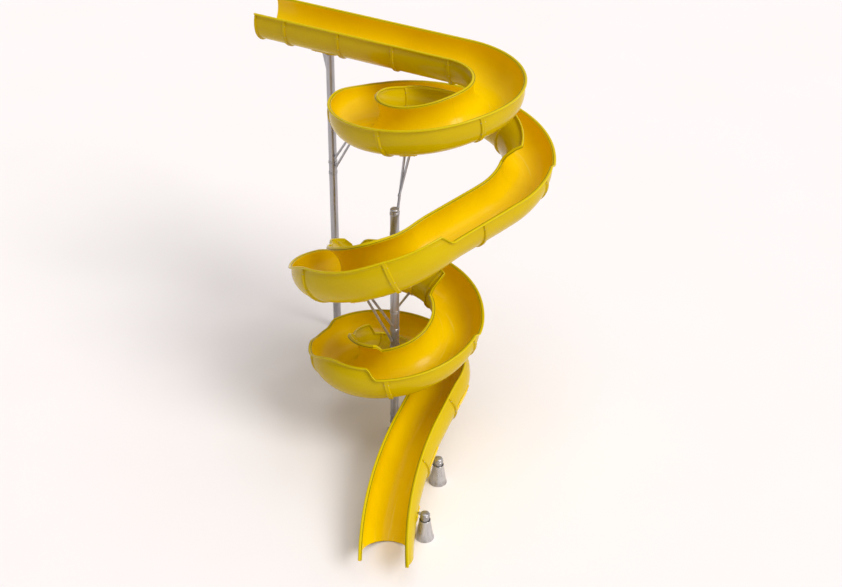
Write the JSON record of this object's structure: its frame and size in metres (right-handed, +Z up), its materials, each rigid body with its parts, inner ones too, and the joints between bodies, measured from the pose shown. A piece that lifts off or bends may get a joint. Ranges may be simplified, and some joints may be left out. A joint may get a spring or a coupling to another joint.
{
  "type": "pool slide",
  "caption": "Open spiral water slide: flume sections with rolled rims wind down in loops on steel columns with arms and curved saddles.",
  "frame": {"origin": "centre of the underside of the main column's base plate, on the ground", "axes": "+Z up; the exit flume points along -Y, and the start of the flume is towards -X and +Y"},
  "size_m": [5.7579, 9.0334, 7.3123],
  "materials": {
    "gelcoat": "glossy yellow gelcoat on glass-fibre laminate",
    "painted_steel": "satin grey-brown paint"
  },
  "bodies": {
    "root": {"bottom_loop_1": "gelcoat", "bottom_loop_2": "gelcoat", "bottom_loop_3": "gelcoat", "bottom_loop_4": "gelcoat", "bottom_loop_5": "gelcoat", "bottom_loop_6": "gelcoat", "bottom_loop_arm_1": "painted_steel", "bottom_loop_arm_2": "painted_steel", "bottom_loop_saddle": "gelcoat", "entry_bend_1": "gelcoat", "entry_bend_2": "gelcoat", "exit_1_arm_1": "painted_steel", "exit_1_base_plate": "painted_steel", "exit_1_column": "painted_steel", "exit_1_cone": "painted_steel", "exit_1_saddle": "gelcoat", "exit_2_arm_1": "painted_steel", "exit_2_base_plate": "painted_steel", "exit_2_column": "painted_steel", "exit_2_cone": "painted_steel", "exit_2_saddle": "gelcoat", "exit_flume": "gelcoat", "left_base_plate": "painted_steel", "left_column": "painted_steel", "lower_loop_1": "gelcoat", "lower_loop_2": "gelcoat", "lower_loop_3": "gelcoat", "lower_loop_4": "gelcoat", "lower_loop_5": "gelcoat", "lower_loop_back_arm_1": "painted_steel", "lower_loop_back_saddle": "gelcoat", "lower_loop_front_arm_1": "painted_steel", "lower_loop_front_arm_2": "painted_steel", "lower_loop_front_saddle": "gelcoat", "lower_loop_rear_arm_1": "painted_steel", "lower_loop_rear_saddle": "gelcoat", "main_base_plate": "painted_steel", "main_column": "painted_steel", "middle_flume_1": "gelcoat", "middle_flume_2": "gelcoat", "rear_base_plate": "painted_steel", "rear_column": "painted_steel", "start_flume": "gelcoat", "straight_flume_1": "gelcoat", "straight_flume_2": "gelcoat", "straight_flume_3": "gelcoat", "top_run_gusset": "painted_steel", "top_run_saddle": "gelcoat", "upper_loop_1": "gelcoat", "upper_loop_2": "gelcoat", "upper_loop_3": "gelcoat", "upper_loop_4": "gelcoat", "upper_loop_5": "gelcoat", "upper_loop_6": "gelcoat", "upper_loop_front_arm_1": "painted_steel", "upper_loop_front_arm_2": "painted_steel", "upper_loop_front_saddle": "gelcoat", "upper_loop_left_arm_1": "painted_steel", "upper_loop_left_arm_2": "painted_steel", "upper_loop_left_saddle": "gelcoat"}
  },
  "joints": []
}
